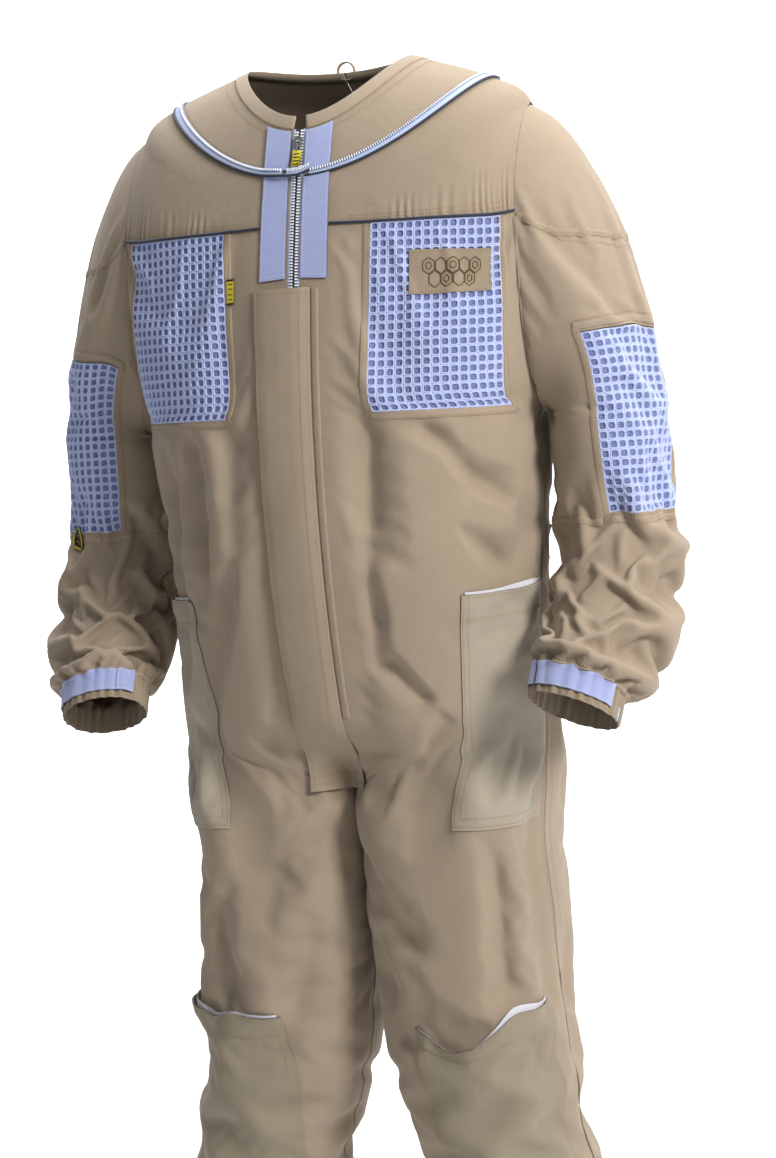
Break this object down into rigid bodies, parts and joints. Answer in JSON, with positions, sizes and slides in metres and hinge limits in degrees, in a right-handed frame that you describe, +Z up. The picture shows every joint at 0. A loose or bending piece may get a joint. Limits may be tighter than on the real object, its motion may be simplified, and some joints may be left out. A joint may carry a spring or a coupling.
{
  "type": "ventilated beekeeping suit",
  "caption": "Full-length coverall with round hood zip at the neck, zipped front under a storm flap, mesh ventilation panels, patch pockets and elasticated cuffs.",
  "frame": {"origin": "centre of the neck opening, on the line across the shoulders beside the neck", "axes": "+X towards the wearer's left, -Y out of the chest, +Z up; the garment hangs down from the origin"},
  "size_m": [0.6614, 0.2985, 1.4828],
  "materials": {
    "khaki": "woven cotton twill, matt",
    "mesh": "open square-grid spacer mesh",
    "loop": "hook-and-loop tape",
    "navy": "corded piping",
    "white": "woven zip tape",
    "metal": "satin nickel",
    "label": "woven label",
    "teeth": "moulded zip teeth"
  },
  "bodies": {
    "torso": {"yoke_left": "khaki", "yoke_right": "khaki", "front_panel_left": "khaki", "front_panel_right": "khaki", "chest_mesh_left": "mesh", "chest_mesh_right": "mesh", "back_panel_left": "khaki", "back_panel_right": "khaki", "back_mesh": "mesh", "waist_elastic": "khaki", "collar_band": "khaki", "yoke_piping": "navy", "neck_zip_tape": "white", "neck_zip_teeth": "teeth", "neck_zip_piping": "navy", "neck_zip_tab": "white", "front_zip_tape": "white", "front_zip_teeth": "teeth", "hook_strip_left": "loop", "hook_strip_right": "loop", "hip_pocket_left": "khaki", "hip_pocket_right": "khaki", "chest_patch": "khaki", "chest_label": "label", "hanger_loop": "khaki", "hip_fabric_left": "khaki", "hip_fabric_right": "khaki"},
    "flap": {"storm_flap": "khaki"},
    "zip_slider": {"front_zip_slider": "metal"},
    "zip_puller": {"front_zip_puller": "metal", "puller_tab": "label"},
    "upper_arm_left": {"upper_sleeve_left": "khaki", "sleeve_mesh_left": "mesh", "elbow_fabric_left": "khaki"},
    "forearm_left": {"lower_sleeve_left": "khaki", "wrist_cuff_left": "khaki"},
    "strap_left": {"cuff_strap_left": "loop"},
    "thigh_left": {"thigh_panel_left": "khaki", "knee_fabric_left": "khaki", "knee_pocket_left": "khaki"},
    "shin_left": {"shin_panel_left": "khaki", "ankle_cuff_left": "khaki", "ankle_zip_left": "teeth"},
    "ankle_slider_left": {"ankle_zip_slider_left": "metal"},
    "upper_arm_right": {"upper_sleeve_right": "khaki", "sleeve_mesh_right": "mesh", "elbow_fabric_right": "khaki", "sleeve_label": "label"},
    "forearm_right": {"lower_sleeve_right": "khaki", "wrist_cuff_right": "khaki"},
    "strap_right": {"cuff_strap_right": "loop"},
    "thigh_right": {"thigh_panel_right": "khaki", "knee_fabric_right": "khaki", "knee_pocket_right": "khaki"},
    "shin_right": {"shin_panel_right": "khaki", "ankle_cuff_right": "khaki", "ankle_zip_right": "teeth"},
    "ankle_slider_right": {"ankle_zip_slider_right": "metal"}
  },
  "joints": [
    {"name": "front_zip", "type": "hinge", "parent": "torso", "child": "zip_slider", "pos_m": [0, 0.793, -0.381], "axis": [1, 0, 0], "range_deg": [0, 32.5], "deforming": ["neck_zip_tab"]},
    {"name": "puller_swing", "type": "hinge", "parent": "zip_slider", "child": "zip_puller", "pos_m": [0, -0.11357, -0.07475], "axis": [-1, 0, 0], "range_deg": [0, 110]},
    {"name": "flap_open", "type": "hinge", "parent": "torso", "child": "flap", "pos_m": [0.017, -0.15919, -0.46627], "axis": [0, -0.0892, 0.996], "range_deg": [0, 100]},
    {"name": "shoulder_left", "type": "hinge", "parent": "torso", "child": "upper_arm_left", "pos_m": [0.205, 0.01, -0.165], "axis": [-1, 0, 0], "range_deg": [-15, 40]},
    {"name": "elbow_left", "type": "hinge", "parent": "upper_arm_left", "child": "forearm_left", "pos_m": [0.268, 0.008, -0.44], "axis": [-1, 0, 0], "range_deg": [0, 60], "deforming": ["elbow_fabric_left"]},
    {"name": "cuff_strap_left", "type": "hinge", "parent": "forearm_left", "child": "strap_left", "pos_m": [0.29057, -0.11541, -0.61927], "axis": [0.1792, 0.4707, 0.8639], "range_deg": [0, 70]},
    {"name": "hip_left", "type": "hinge", "parent": "torso", "child": "thigh_left", "pos_m": [0.098, 0, -0.69], "axis": [-1, 0, 0], "range_deg": [-10, 20], "deforming": ["hip_fabric_left", "hip_pocket_left"]},
    {"name": "knee_left", "type": "hinge", "parent": "thigh_left", "child": "shin_left", "pos_m": [0.119, -0.006, -1.005], "axis": [1, 0, 0], "range_deg": [0, 55], "deforming": ["knee_fabric_left", "knee_pocket_left"]},
    {"name": "ankle_zip_left", "type": "slide", "parent": "shin_left", "child": "ankle_slider_left", "axis": [-0.048, 0, 0.9988], "range_m": [0, 0.14]},
    {"name": "shoulder_right", "type": "hinge", "parent": "torso", "child": "upper_arm_right", "pos_m": [-0.205, 0.01, -0.165], "axis": [-1, 0, 0], "range_deg": [-15, 40]},
    {"name": "elbow_right", "type": "hinge", "parent": "upper_arm_right", "child": "forearm_right", "pos_m": [-0.268, 0.008, -0.44], "axis": [-1, 0, 0], "range_deg": [0, 60], "deforming": ["elbow_fabric_right"]},
    {"name": "cuff_strap_right", "type": "hinge", "parent": "forearm_right", "child": "strap_right", "pos_m": [-0.29057, -0.11541, -0.61927], "axis": [0.1792, -0.4707, -0.8639], "range_deg": [0, 70]},
    {"name": "hip_right", "type": "hinge", "parent": "torso", "child": "thigh_right", "pos_m": [-0.098, 0, -0.69], "axis": [-1, 0, 0], "range_deg": [-10, 20], "deforming": ["hip_fabric_right", "hip_pocket_right"]},
    {"name": "knee_right", "type": "hinge", "parent": "thigh_right", "child": "shin_right", "pos_m": [-0.119, -0.006, -1.005], "axis": [1, 0, 0], "range_deg": [0, 55], "deforming": ["knee_fabric_right", "knee_pocket_right"]},
    {"name": "ankle_zip_right", "type": "slide", "parent": "shin_right", "child": "ankle_slider_right", "axis": [0.048, 0, 0.9988], "range_m": [0, 0.14]}
  ]
}
